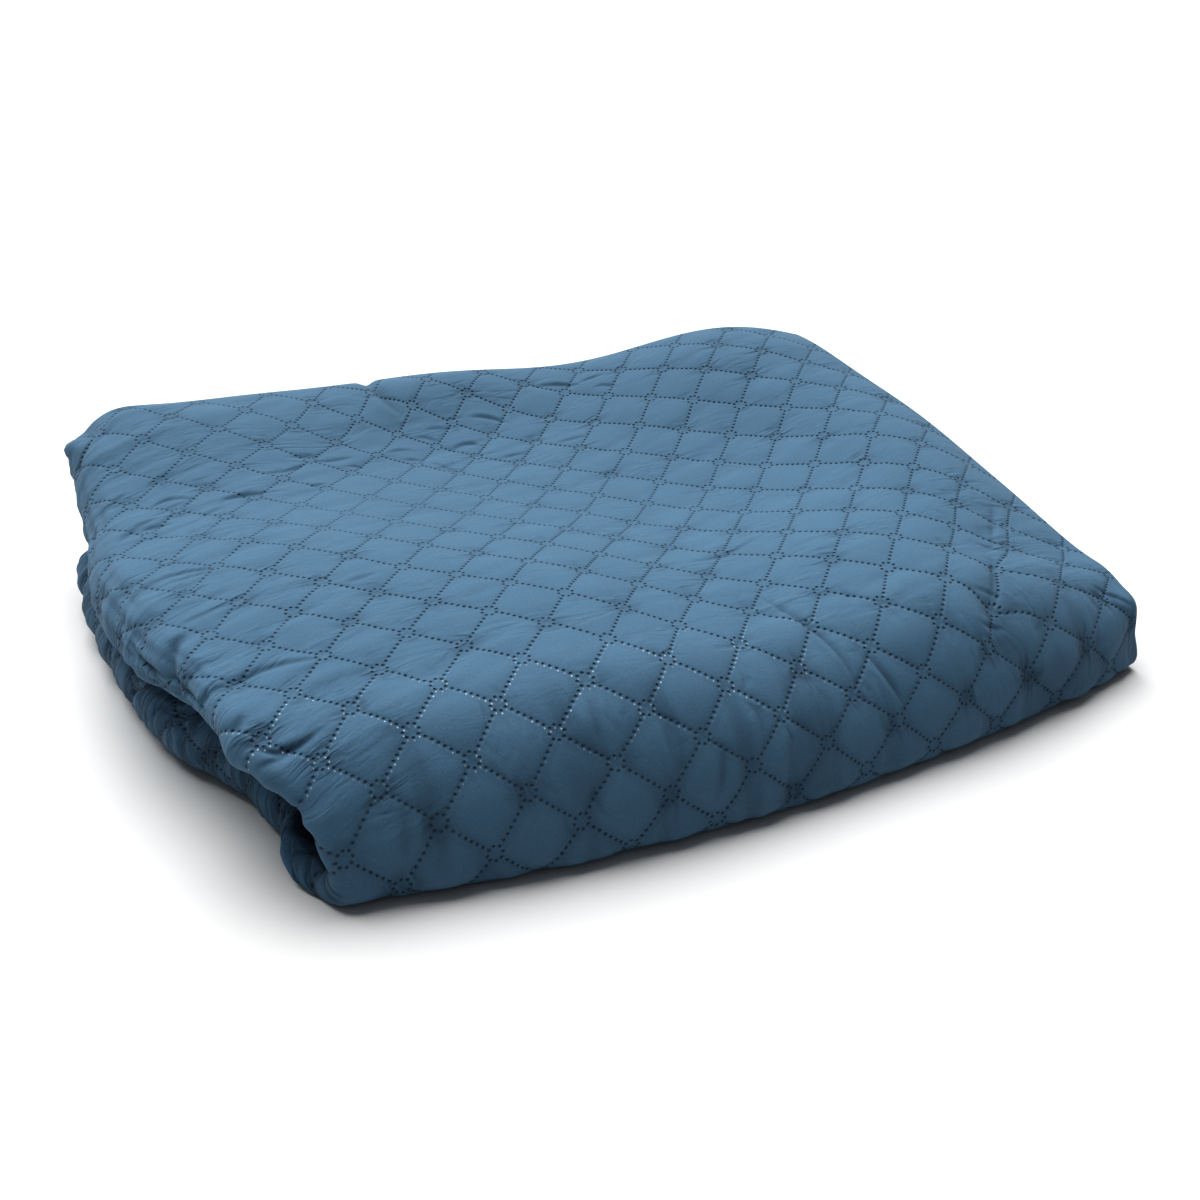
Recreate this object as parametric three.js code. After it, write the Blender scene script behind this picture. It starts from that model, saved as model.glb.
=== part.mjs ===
// A quilted sofa cover, folded into a soft pad and laid flat.
// The cloth is folded in four across its length, then the four layers are doubled over at the front.
// Eight layers lie on one another: the front is one smooth bend, the left side two rolled rims,
// and the cut edges end at the back and on the right.
// Millimetres, +Z up. X runs along the front bend and Y to the back, from under the pad's middle.

import * as THREE from 'three';

// Cloth and its quilting
const DIAMOND = 44; // one quilted diamond, corner to corner
const SHEET = 4; // the padded cloth at a seam
const CROWN = 2.4; // rise of a diamond's middle over its seams
const CROWN_FULLNESS = 0.7; // below 1 the crowns are broad, with narrow seams between them
const CROWN_EDGE = 12; // strip along a cut edge where the crowns die away
const SEAM_X = 211.5; // one crossing of two seams on the top
const SEAM_Y = 71.2;

// Layers and bends
const LAYERS = 8;
const FRONT_PITCH = 5.5; // layer to layer where the front bend presses them together
const EASING = 110; // length over which the layers ease apart behind the bend
const UPPER_ARC = 104; // along the outside, from the flat top to the foremost line
const LOWER_ARC = 19; // and on to the flat underside
const UPPER_SHARE = 0.84; // part of the height that the upper arc takes
const FOOT_REACH = 12; // foremost line back to where the underside lies flat
const RIGHT_END = 267; // cut end of the outer layer
const FOLD_CENTRE = 252; // small right fold between two inner layers
const INNER_END = 256; // cut end of the inner layer
const RIM_X = -225; // where the left rims take their rows from
const CORNER_CUT = 16; // rear left corner, cut off at a slant
const CORNER_WIDTH = 42;

// Hollow at the front left corner: on the bend the rims draw back and grow thin
const MOUTH_FROM = 24; // along the outside
const MOUTH_WIDENS = 44;
const DRAWN = { to: 138, closes: 30 };
const THINNED = { to: 148, closes: 45 };
const MOUTH_DEEP = 9;
const MOUTH_THIN = 0.55; // part of the layers' pitch that is lost at the rim
const MOUTH_TAPER = 50; // strip beside the rim where the pitch comes back

// Height of the top over the ground, with the soft swells on it
const HOLLOW_HEIGHT = 64;
const SWELLS = [
  { name: 'rear left pad', x: -150, y: 210, wide: 130, deep: 80, rise: 28 },
  { name: 'rear left corner', x: -232, y: 228, wide: 48, deep: 50, rise: 14 },
  { name: 'left flank', x: -190, y: -15, wide: 120, deep: 170, rise: 24 },
  { name: 'rear right dome', x: 203, y: 155, wide: 108, deep: 90, rise: 40 },
  { name: 'right flank', x: 265, y: -5, wide: 95, deep: 110, rise: 34 },
  { name: 'rear middle', x: 15, y: 205, wide: 95, deep: 48, rise: 20 },
  { name: 'front left hump', x: -55, y: -115, wide: 75, deep: 120, rise: 16 },
  { name: 'front right hump', x: 140, y: -125, wide: 100, deep: 75, rise: 15 },
  { name: 'sunk front right corner', x: 250, y: -165, wide: 60, deep: 55, rise: -12 },
  { name: 'fall to the right end', x: 290, y: -50, wide: 50, deep: 110, rise: -24 },
];

// Outline across the pad: foremost line, how far the front bend reaches back from it,
// and the back edge of the upper and of the lower half
const SECTIONS = [
  { at: -260, front: -180, bend: 70, rear: 212, rearBelow: 146 },
  { at: -200, front: -197, bend: 70, rear: 230, rearBelow: 164 },
  { at: -100, front: -217, bend: 70, rear: 222, rearBelow: 178 },
  { at: 0, front: -227, bend: 70, rear: 214, rearBelow: 180 },
  { at: 100, front: -227, bend: 70, rear: 198, rearBelow: 176 },
  { at: 200, front: -220, bend: 66, rear: 170, rearBelow: 165 },
  { at: 267, front: -207, bend: 46, rear: 150, rearBelow: 152 },
];

// Left rims along the pad, front to back, of the upper and of the lower half
const RIMS = [
  { at: -215, upper: -226, lower: -226 },
  { at: -168, upper: -236, lower: -228 },
  { at: -146, upper: -241, lower: -222 },
  { at: -95, upper: -247, lower: -231 },
  { at: -40, upper: -262, lower: -256 },
  { at: 40, upper: -266, lower: -264 },
  { at: 130, upper: -254, lower: -261 },
  { at: 225, upper: -246, lower: -249 },
];

// Steps of the mesh
const QUILT_STEPS = 4; // to one diamond, on the top and the front
const QUILT_LEFT = -9; // in diamonds from the seam crossing
const QUILT_RIGHT = 1;
const QUILT_FRONT = -8;
const QUILT_REAR = 3.75;
const MARGIN_X = SEAM_X + (QUILT_LEFT - 1 / QUILT_STEPS) * DIAMOND;
const LAYER_STEPS = 11; // across a layer
const RIM_STEPS = 6; // round the rolled outer rim
const FOLD_STEPS = 4; // round a small fold
const TOP_STEPS = 11; // from the back edge to the front bend
// Rows round the bend, along the outside
const BEND_ROWS = [0, 20, 36, 50, 64, 78, 88, 96, 104, 111, 117, 123, 132, 145];
const UNDER_STEPS = 5; // from the bend to the lower back edge

const clamp = THREE.MathUtils.clamp;
const lerp = THREE.MathUtils.lerp;
const ease = (part) => THREE.MathUtils.smoothstep(part, 0, 1);

// A value between the rows of a table, on a smooth curve through them
function along(rows, column, at) {
  const last = rows.length - 1;
  const place = clamp(at, rows[0].at, rows[last].at);
  let k = 0;
  while (k < last - 1 && rows[k + 1].at < place) k += 1;
  const slope = (i) => {
    const before = rows[Math.max(i - 1, 0)];
    const next = rows[Math.min(i + 1, last)];
    return (next[column] - before[column]) / (next.at - before.at);
  };
  const span = rows[k + 1].at - rows[k].at;
  const t = (place - rows[k].at) / span;
  const leave = slope(k) * span * t * (1 - t) * (1 - t);
  const arrive = slope(k + 1) * span * t * t * (1 - t);
  return lerp(rows[k][column], rows[k + 1][column], ease(t)) + leave - arrive;
}

const frontLine = (x) => along(SECTIONS, 'front', x);
const rearLineBelow = (x) => along(SECTIONS, 'rearBelow', x);
const bendReach = (x) => along(SECTIONS, 'bend', x);
const bendStart = (x) => frontLine(x) + bendReach(x);
const underStart = (x) => frontLine(x) + FOOT_REACH;
const rowsFrom = (x) => Math.max(x, RIM_X);

function rearLine(x) {
  const cut = CORNER_CUT * clamp((RIM_X - x) / CORNER_WIDTH, 0, 1);
  return along(SECTIONS, 'rear', rowsFrom(x)) - cut;
}

function topHeight(x, y) {
  let height = HOLLOW_HEIGHT;
  for (const swell of SWELLS) {
    const u = (x - swell.x) / swell.wide;
    const v = (y - swell.y) / swell.deep;
    height += swell.rise * Math.exp(-u * u - v * v);
  }
  return height;
}

// Distance w runs along the outside of the pad: below 0 on the top, from 0 round the front bend,
// and past FOOT on the underside.
const FOOT = UPPER_ARC + LOWER_ARC;

// 1 where the bend presses the layers together, 0 where they lie loose
function squeeze(w) {
  if (w < 0) return ease(1 + w / EASING);
  return w > FOOT ? ease(1 - (w - FOOT) / EASING) : 1;
}

function flatY(x, w) {
  return w < 0 ? bendStart(x) - w : underStart(x) + Math.max(w - FOOT, 0);
}

function pitch(x, w) {
  const loose = (topHeight(x, flatY(x, w)) - SHEET) / (LAYERS - 1);
  return lerp(loose, FRONT_PITCH, squeeze(w));
}

// Point of the folded stack: x across, w along the outside, depth in from the outside
function point(x, w, depth) {
  const start = bendStart(x);
  if (w <= 0) return new THREE.Vector3(x, start - w, topHeight(x, start - w) - depth);
  if (w > FOOT) return new THREE.Vector3(x, flatY(x, w) + depth * squeeze(w), depth);
  const top = topHeight(x, start) - depth;
  const rise = top - depth;
  if (w <= UPPER_ARC) {
    const turn = (w / UPPER_ARC) * (Math.PI / 2);
    const y = start - (bendReach(x) - depth) * Math.sin(turn);
    return new THREE.Vector3(x, y, top - UPPER_SHARE * rise * (1 - Math.cos(turn)));
  }
  const turn = ((w - UPPER_ARC) / LOWER_ARC) * (Math.PI / 2);
  const y = frontLine(x) + depth + FOOT_REACH * (1 - Math.cos(turn));
  return new THREE.Vector3(x, y, depth + (1 - UPPER_SHARE) * rise * (1 - Math.sin(turn)));
}

// Left rim's outermost x: the upper half's on the top, the lower half's underneath
function rimLine(w) {
  const y = flatY(RIM_X, w);
  if (w < 0) return along(RIMS, 'upper', y);
  if (w > FOOT) return along(RIMS, 'lower', y);
  return lerp(along(RIMS, 'upper', bendStart(RIM_X)), along(RIMS, 'lower', y), ease(w / FOOT));
}

// 1 where the rims draw back or grow thin on the bend, 0 away from it
function mouth(w, { to, closes }) {
  return ease((w - MOUTH_FROM) / MOUTH_WIDENS) * ease((to - w) / closes);
}

// Centres of the outer and the inner rim at one w, and the layers' pitch beside them
function rimAt(w) {
  const edge = rimLine(w);
  const thinned = mouth(w, THINNED);
  const centre = edge + OUTER_RIM.radius * pitch(edge, w) + SHEET / 2 + MOUTH_DEEP * mouth(w, DRAWN);
  const spacing = (x, way) => {
    const thin = MOUTH_THIN * thinned * (1 - ease((x - centre) / MOUTH_TAPER));
    return pitch(x, way(x)) * (1 - thin);
  };
  return { centre, inner: centre + MOUTH_TAPER * thinned, spacing };
}

// One row of the mesh for the whole section: its w at any x
const rows = [];
for (let k = 0; k < TOP_STEPS; k += 1) {
  const part = 1 - k / TOP_STEPS;
  rows.push((x) => -part * (rearLine(x) - bendStart(rowsFrom(x))));
}
for (const w of BEND_ROWS) rows.push(() => w);
const FIRST_UNDER = BEND_ROWS[BEND_ROWS.length - 1];
for (let k = 1; k <= UNDER_STEPS; k += 1) {
  const part = k / UNDER_STEPS;
  rows.push((x) => {
    const at = rowsFrom(x);
    return lerp(FIRST_UNDER, FOOT + rearLineBelow(at) - underStart(at), part);
  });
}

// Columns of the mesh along the cloth, from the outer cut end round every fold to the inner one.
// Each gives the middle of the cloth and the way its face side looks, across and in depth.
const columns = [];

function addLayer(layer, facing, from, to, steps) {
  for (let k = 0; k <= steps; k += 1) {
    columns.push((rim, way) => {
      const x = lerp(from(rim), to(rim), k / steps);
      return { x, depth: layer * rim.spacing(x, way) + SHEET / 2, across: 0, inward: facing };
    });
  }
}

// A half turn about a layer height, both counted in layers; looks is 1 where the face is outside
function addFold({ middle, radius, bulge, heading, looks }, centre, steps) {
  for (let k = 1; k < steps; k += 1) {
    const sine = Math.sin((k / steps) * Math.PI);
    const cosine = Math.cos((k / steps) * Math.PI);
    columns.push((rim, way) => {
      const step = rim.spacing(centre(rim), way);
      return {
        x: centre(rim) + bulge * radius * step * sine,
        depth: (middle + heading * radius * cosine) * step + SHEET / 2,
        across: looks * bulge * sine,
        inward: looks * heading * cosine,
      };
    });
  }
}

const outerEnd = () => RIGHT_END;
const innerEnd = () => INNER_END;
const margin = () => MARGIN_X;
const rimCentre = (rim) => rim.centre;
const innerCentre = (rim) => rim.inner;
const foldCentre = () => FOLD_CENTRE;

const OUTER_RIM = { middle: 1.5, radius: 1.5, bulge: -1, heading: -1, looks: 1 };
const SMALL_FOLD = { middle: 2.5, radius: 0.5, bulge: 1, heading: 1, looks: 1 };
const INNER_RIM = { middle: 1.5, radius: 0.5, bulge: -1, heading: 1, looks: -1 };
const FACE_OUT = -1; // the face side of the layer looks out of the pad
const FACE_IN = 1;

addLayer(0, FACE_OUT, outerEnd, margin, LAYER_STEPS);
const MARGIN_COLUMN = columns.length - 1;
columns.push((rim) => ({ x: rim.centre, depth: SHEET / 2, across: 0, inward: FACE_OUT }));
addFold(OUTER_RIM, rimCentre, RIM_STEPS);
addLayer(3, FACE_IN, rimCentre, foldCentre, LAYER_STEPS);
addFold(SMALL_FOLD, foldCentre, FOLD_STEPS);
addLayer(2, FACE_OUT, foldCentre, innerCentre, LAYER_STEPS);
addFold(INNER_RIM, innerCentre, FOLD_STEPS);
addLayer(1, FACE_IN, innerCentre, innerEnd, LAYER_STEPS);

// Vertices and triangles of the cloth
const vertices = [];
const triangles = [];

function addVertex(position) {
  vertices.push(position.x, position.y, position.z);
  return vertices.length / 3 - 1;
}

function addTriangle(a, b, c) {
  if (a !== b && b !== c && c !== a) triangles.push(a, b, c);
}

// Strip between two lines of vertices, the first on the left of the way they run
function stitch(left, right) {
  let i = 0;
  let j = 0;
  while (i < left.length - 1 || j < right.length - 1) {
    const stepLeft = j === right.length - 1
      || (i < left.length - 1 && left[i + 1].at <= right[j + 1].at);
    if (stepLeft) {
      addTriangle(left[i].vertex, right[j].vertex, left[i + 1].vertex);
      i += 1;
    } else {
      addTriangle(left[i].vertex, right[j].vertex, right[j + 1].vertex);
      j += 1;
    }
  }
}

// Plain grid of one side of the cloth: side 1 is the face, side -1 the back
function plainSide(side, wanted) {
  return rows.map((row, j) => {
    const rim = rimAt(row(RIM_X));
    return columns.map((column, i) => {
      if (!wanted(i, j)) return null;
      const middle = column(rim, row);
      const x = middle.x + (side * SHEET * middle.across) / 2;
      const depth = middle.depth + (side * SHEET * middle.inward) / 2;
      return addVertex(point(x, row(x), depth));
    });
  });
}

function plainFaces(grid, side) {
  for (let j = 0; j + 1 < grid.length; j += 1) {
    for (let i = 0; i + 1 < columns.length; i += 1) {
      const corners = [grid[j][i], grid[j][i + 1], grid[j + 1][i + 1], grid[j + 1][i]];
      if (corners.includes(null)) continue;
      const [a, b, c, d] = corners;
      addTriangle(a, side > 0 ? b : c, side > 0 ? c : b);
      addTriangle(a, side > 0 ? c : d, side > 0 ? d : c);
    }
  }
}

// Quilted patch of the face, over the top and down the front, in quarters of a diamond
function crown(x, reach, w, rear) {
  const u = (x - SEAM_X) / DIAMOND;
  const v = (reach - SEAM_Y) / DIAMOND;
  const puff = Math.abs(Math.sin(Math.PI * (u - v)) * Math.sin(Math.PI * (u + v)));
  const inFromEdge = Math.min(RIGHT_END - x, rear - reach) / CROWN_EDGE;
  const upFromFoot = (FOOT - w) / LOWER_ARC;
  return CROWN * puff ** CROWN_FULLNESS * ease(Math.min(inFromEdge, upFromFoot));
}

function quiltColumn(x) {
  const start = bendStart(x);
  const rear = rearLine(x);
  const front = start - FOOT;
  const line = [];
  for (let n = QUILT_FRONT * QUILT_STEPS; n <= QUILT_REAR * QUILT_STEPS; n += 1) {
    const reach = clamp(SEAM_Y + (n / QUILT_STEPS) * DIAMOND, front, rear);
    const before = line[line.length - 1];
    const same = before && before.reach === reach;
    const w = start - reach;
    const vertex = same ? before.vertex : addVertex(point(x, w, -crown(x, reach, w, rear)));
    line.push({ vertex, reach, at: w });
  }
  return line;
}

const quilt = [];
for (let m = QUILT_LEFT * QUILT_STEPS; m <= QUILT_RIGHT * QUILT_STEPS; m += 1) {
  quilt.push(quiltColumn(SEAM_X + (m / QUILT_STEPS) * DIAMOND));
}
quilt.push(quiltColumn(RIGHT_END));

const shift = (QUILT_LEFT - QUILT_FRONT) * QUILT_STEPS;
for (let m = 0; m + 1 < quilt.length; m += 1) {
  for (let n = 0; n + 1 < quilt[m].length; n += 1) {
    const a = quilt[m][n].vertex;
    const b = quilt[m + 1][n].vertex;
    const c = quilt[m + 1][n + 1].vertex;
    const d = quilt[m][n + 1].vertex;
    // The diagonal follows the seams
    const forward = (m - n + shift) % 2 === 0;
    addTriangle(a, b, forward ? c : d);
    addTriangle(forward ? a : b, c, d);
  }
}

// The rest of the face, and the back of the cloth
const quiltRows = rows.findIndex((row) => row(0) > FOOT);
const face = plainSide(1, (i, j) => i >= MARGIN_COLUMN || j >= quiltRows);
const back = plainSide(-1, () => true);
plainFaces(face, 1);
plainFaces(back, -1);

// Round the quilted patch: down its left side, then along its foot
const unique = (line) => line.filter((entry, k) => k === 0 || entry.vertex !== line[k - 1].vertex);
const fromZeroToOne = (line) => {
  const first = line[0].at;
  const length = line[line.length - 1].at - first;
  return line.map((entry) => ({ ...entry, at: (entry.at - first) / length }));
};
const fromOneToTwo = (line) => fromZeroToOne(line).map((entry) => ({ ...entry, at: entry.at + 1 }));

const quiltSide = unique([...quilt[0]].reverse());
const quiltFoot = quilt.map((line, m) => ({ vertex: line[0].vertex, at: m }));
const marginSide = rows.slice(0, quiltRows + 1).map((row, j) => ({
  vertex: face[j][MARGIN_COLUMN],
  at: row(MARGIN_X),
}));
const footToRight = face[quiltRows].slice(0, MARGIN_COLUMN + 1).reverse();
const marginFoot = footToRight.map((vertex, i) => ({ vertex, at: i }));
stitch(
  [...fromZeroToOne(quiltSide), ...fromOneToTwo(quiltFoot).slice(1)],
  [...fromZeroToOne(marginSide), ...fromOneToTwo(marginFoot).slice(1)],
);

// Cut edges: right end, inner end, back of the upper half, back of the lower half
const rowWays = rows.map((row) => row(RIGHT_END));
function endLine(grid, i, from) {
  return grid.slice(from).map((line, j) => ({ vertex: line[i], at: rowWays[j + from] }));
}
const backLine = (line, from) => line.slice(from).map((vertex, i) => ({ vertex, at: i + from }));
const innerColumn = columns.length - 1;
const lowerRow = rows.length - 1;
const quiltEnd = unique([...quilt[quilt.length - 1]].reverse());
stitch(endLine(back, 0, 0), [...quiltEnd, ...endLine(face, 0, quiltRows)]);
stitch(endLine(face, innerColumn, 0), endLine(back, innerColumn, 0));
const quiltBack = quilt.map((line, m) => ({
  vertex: line[line.length - 1].vertex,
  at: (MARGIN_COLUMN * (quilt.length - 1 - m)) / quilt.length,
}));
stitch([...quiltBack.reverse(), ...backLine(face[0], MARGIN_COLUMN)], backLine(back[0], 0));
stitch(backLine(back[lowerRow], 0), backLine(face[lowerRow], 0));

const geometry = new THREE.BufferGeometry();
geometry.setAttribute('position', new THREE.Float32BufferAttribute(vertices, 3));
geometry.setIndex(triangles);
geometry.computeVertexNormals();

const cloth = new THREE.MeshStandardMaterial({ color: 0x4b7392, roughness: 0.88, metalness: 0 });
const cover = new THREE.Mesh(geometry, cloth);
cover.name = 'quilted_cover';

const sofaCover = new THREE.Group();
sofaCover.add(cover);

export default sofaCover;
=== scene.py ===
# %% [markdown]
# A quilted sofa cover, folded into a soft pad.
# The real cover is one sheet: two thin cloths with a light wadding between them, welded together along
# dotted lines that cross in diamonds. It has been folded in four, doubled over once more, and put down by
# hand, so its top swells and sinks and its left side shows two rolled rims.
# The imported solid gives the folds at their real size. This lesson lays the same folds out as a finer cloth,
# adds the quilting and the creases to it, and finishes it as a brushed blue fabric.

import math

import bmesh
import bpy
import numpy as np
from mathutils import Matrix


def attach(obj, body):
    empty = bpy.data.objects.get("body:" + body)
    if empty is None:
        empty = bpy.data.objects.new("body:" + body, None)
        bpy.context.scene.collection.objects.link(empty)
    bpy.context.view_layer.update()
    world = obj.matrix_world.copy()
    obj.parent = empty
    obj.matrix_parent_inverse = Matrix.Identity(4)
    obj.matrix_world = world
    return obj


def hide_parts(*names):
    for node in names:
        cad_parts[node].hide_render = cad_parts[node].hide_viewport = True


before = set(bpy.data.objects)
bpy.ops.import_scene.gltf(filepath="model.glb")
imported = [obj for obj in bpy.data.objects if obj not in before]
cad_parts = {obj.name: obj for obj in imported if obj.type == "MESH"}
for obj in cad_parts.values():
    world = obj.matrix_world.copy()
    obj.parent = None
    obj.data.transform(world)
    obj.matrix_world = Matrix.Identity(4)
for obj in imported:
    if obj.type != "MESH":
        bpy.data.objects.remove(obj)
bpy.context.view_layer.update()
SOLID = "quilted_cover"
MM = 0.001

# %% [markdown]
# The camera stands to the front left and looks down on the pad. Its place was found from the crossings of
# the quilting, so it comes first: every later choice is judged through it.

# %% Camera
CAMERA_PLACE = (-352.9, -711.3, 458.6)
CAMERA_HEADING = 27.85
CAMERA_DIP = 29.2
CAMERA_LENS = 44.4
SENSOR_WIDTH = 36

camera_data = bpy.data.cameras.new("camera")
camera_data.lens = CAMERA_LENS
camera_data.sensor_width = SENSOR_WIDTH
camera = bpy.data.objects.new("camera", camera_data)
camera.location = [part * MM for part in CAMERA_PLACE]
camera.rotation_euler = (math.radians(90 - CAMERA_DIP), 0, math.radians(-CAMERA_HEADING))
bpy.context.scene.collection.objects.link(camera)
bpy.context.scene.camera = camera
print("camera at", tuple(camera.location))

# %% [markdown]
# The sizes of the cloth and of its folds, in millimetres. They are those of the solid, because the cloth
# has to lie where the solid lies. Short tables hold what is uneven: the swells of the top, the outline
# across the pad and the two rims. Everything between their rows follows a smooth curve.

# %% Sizes of the cloth and its folds
DIAMOND = 44
SHEET = 4
SEAM_X = 211.5
SEAM_Y = 71.2

LAYERS = 8
FRONT_PITCH = 5.5
EASING = 110
UPPER_ARC = 104
LOWER_ARC = 19
FOOT = UPPER_ARC + LOWER_ARC
UPPER_SHARE = 0.84
FOOT_REACH = 12
RIGHT_END = 267
FOLD_CENTRE = 252
INNER_END = 256
RIM_X = -225


def patch(name, x, y, wide, deep, **what):
    """A soft round place on the cloth, and what happens there."""
    return {"name": name, "x": x, "y": y, "wide": wide, "deep": deep, **what}


HOLLOW_HEIGHT = 64
SWELLS = [
    patch("rear left pad", -150, 210, 130, 80, rise=28),
    patch("rear left corner", -232, 228, 48, 50, rise=14),
    patch("left flank", -190, -15, 120, 170, rise=24),
    patch("rear right dome", 203, 155, 108, 90, rise=40),
    patch("right flank", 265, -5, 95, 110, rise=34),
    patch("rear middle", 15, 205, 95, 48, rise=20),
    patch("front left hump", -55, -115, 75, 120, rise=16),
    patch("front right hump", 140, -125, 100, 75, rise=15),
    patch("sunk front right corner", 250, -165, 60, 55, rise=-12),
    patch("fall to the right end", 290, -50, 50, 110, rise=-24),
]

SECTIONS = [
    {"at": -260, "front": -180, "bend": 70, "rear": 212, "rear_below": 146},
    {"at": -200, "front": -197, "bend": 70, "rear": 230, "rear_below": 164},
    {"at": -100, "front": -217, "bend": 70, "rear": 222, "rear_below": 178},
    {"at": 0, "front": -227, "bend": 70, "rear": 214, "rear_below": 180},
    {"at": 100, "front": -227, "bend": 70, "rear": 198, "rear_below": 176},
    {"at": 200, "front": -220, "bend": 66, "rear": 170, "rear_below": 165},
    {"at": 267, "front": -207, "bend": 46, "rear": 150, "rear_below": 152},
]

RIMS = [
    {"at": -215, "upper": -226, "lower": -226},
    {"at": -168, "upper": -236, "lower": -228},
    {"at": -146, "upper": -241, "lower": -222},
    {"at": -95, "upper": -247, "lower": -231},
    {"at": -40, "upper": -262, "lower": -256},
    {"at": 40, "upper": -266, "lower": -264},
    {"at": 130, "upper": -254, "lower": -261},
    {"at": 225, "upper": -246, "lower": -249},
]


def ease(part):
    """0 below 0, 1 above 1, and a soft step between them."""
    t = np.clip(part, 0.0, 1.0)
    return t * t * (3 - 2 * t)


def lerp(a, b, part):
    return a + (b - a) * part


def along(table, column, at):
    """A value between the rows of a table, on a smooth curve through them."""
    places = np.array([row["at"] for row in table], float)
    values = np.array([row[column] for row in table], float)
    rows = np.arange(len(places))
    before = np.maximum(rows - 1, 0)
    after = np.minimum(rows + 1, rows[-1])
    slopes = (values[after] - values[before]) / (places[after] - places[before])
    place = np.clip(at, places[0], places[-1])
    k = np.clip(np.searchsorted(places, place) - 1, 0, rows[-1] - 1)
    span = places[k + 1] - places[k]
    t = (place - places[k]) / span
    leave = slopes[k] * span * t * (1 - t) ** 2
    arrive = slopes[k + 1] * span * t**2 * (1 - t)
    return lerp(values[k], values[k + 1], ease(t)) + leave - arrive


print("tables:", len(SWELLS), "swells,", len(SECTIONS), "sections,", len(RIMS), "rim rows")

# %% [markdown]
# How the layers lie on one another. Distance `way` runs along the outside of the pad: below 0 on the top,
# from 0 round the front bend, and past FOOT on the underside. `reach` is the same line read on the flat
# cloth, where the top keeps its own y. The bend presses the layers together, and behind it they ease apart.

# %% The folded stack
CORNER_CUT = 16
CORNER_WIDTH = 42


def front_line(x):
    return along(SECTIONS, "front", x)


def bend_reach(x):
    return along(SECTIONS, "bend", x)


def bend_start(x):
    return front_line(x) + bend_reach(x)


def under_start(x):
    return front_line(x) + FOOT_REACH


def back_reach(x):
    """Reach of the upper half's back edge, with the left corner a little cut off."""
    cut = CORNER_CUT * np.clip((RIM_X - x) / CORNER_WIDTH, 0, 1)
    return along(SECTIONS, "rear", np.maximum(x, RIM_X)) - cut


def end_reach(x):
    """Reach of the lower half's back edge."""
    at = np.maximum(x, RIM_X)
    return bend_start(at) - FOOT - (along(SECTIONS, "rear_below", at) - under_start(at))


def way_at(x, reach):
    return bend_start(np.maximum(x, RIM_X)) - reach


def hill(place, x, y):
    """1 in the middle of a round place, falling softly to 0 round it."""
    u = (x - place["x"]) / place["wide"]
    v = (y - place["y"]) / place["deep"]
    return np.exp(-u * u - v * v)


def top_height(x, y):
    total = np.full(np.broadcast(x, y).shape, float(HOLLOW_HEIGHT))
    for swell in SWELLS:
        total += swell["rise"] * hill(swell, x, y)
    return total


def squeeze(way):
    """1 where the bend presses the layers together, 0 where they lie loose."""
    return np.where(way < 0, ease(1 + way / EASING), ease(1 - (way - FOOT) / EASING))


def flat_y(x, way):
    return np.where(way < 0, bend_start(x) - way, under_start(x) + np.maximum(way - FOOT, 0))


def pitch(x, way):
    loose = (top_height(x, flat_y(x, way)) - SHEET) / (LAYERS - 1)
    return lerp(loose, FRONT_PITCH, squeeze(way))


def rim_line(way):
    """Left rim's outermost x: the upper half's on the top, the lower half's underneath."""
    y = flat_y(RIM_X, way)
    upper = along(RIMS, "upper", np.where(way < 0, y, bend_start(RIM_X)))
    lower = along(RIMS, "lower", y)
    return lerp(upper, lower, ease(way / FOOT))


def stack_point(x, way, depth):
    """Point of the folded stack: x across, way along the outside, depth in from the outside."""
    start = bend_start(x)
    top = top_height(x, np.where(way < 0, start - way, start)) - depth
    rise = top - depth
    upper = np.clip(way / UPPER_ARC, 0, 1) * math.pi / 2
    lower = np.clip((way - UPPER_ARC) / LOWER_ARC, 0, 1) * math.pi / 2
    y_upper = start - (bend_reach(x) - depth) * np.sin(upper) - np.minimum(way, 0)
    z_upper = top - UPPER_SHARE * rise * (1 - np.cos(upper))
    y_lower = front_line(x) + depth + FOOT_REACH * (1 - np.cos(lower))
    z_lower = depth + (1 - UPPER_SHARE) * rise * (1 - np.sin(lower))
    y_under = flat_y(x, way) + depth * squeeze(way)
    y = np.where(way <= UPPER_ARC, y_upper, np.where(way <= FOOT, y_lower, y_under))
    z = np.where(way <= UPPER_ARC, z_upper, np.where(way <= FOOT, z_lower, depth))
    return np.stack([x, y, z], axis=-1)


print("height of the top at the middle:", round(float(top_height(0.0, 0.0)), 1), "mm")

# %% [markdown]
# The cloth's own way across the pad. `run` is measured on the flat cloth and equals x on the top layer. The
# cloth runs left along the top, turns round the outer rim, comes back right, turns, goes left, turns round
# the inner rim and ends on the right. One table holds these stretches, and their ends set the columns of the
# mesh.

# %% The cloth's way round the folds
HALF_DIAMOND = DIAMOND / 2
MARGIN_CELL = -18
LAYER_CELLS = 22
TURN_CELLS = 4
TURN_LENGTH = 18
OUT, IN = -1, 1

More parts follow.
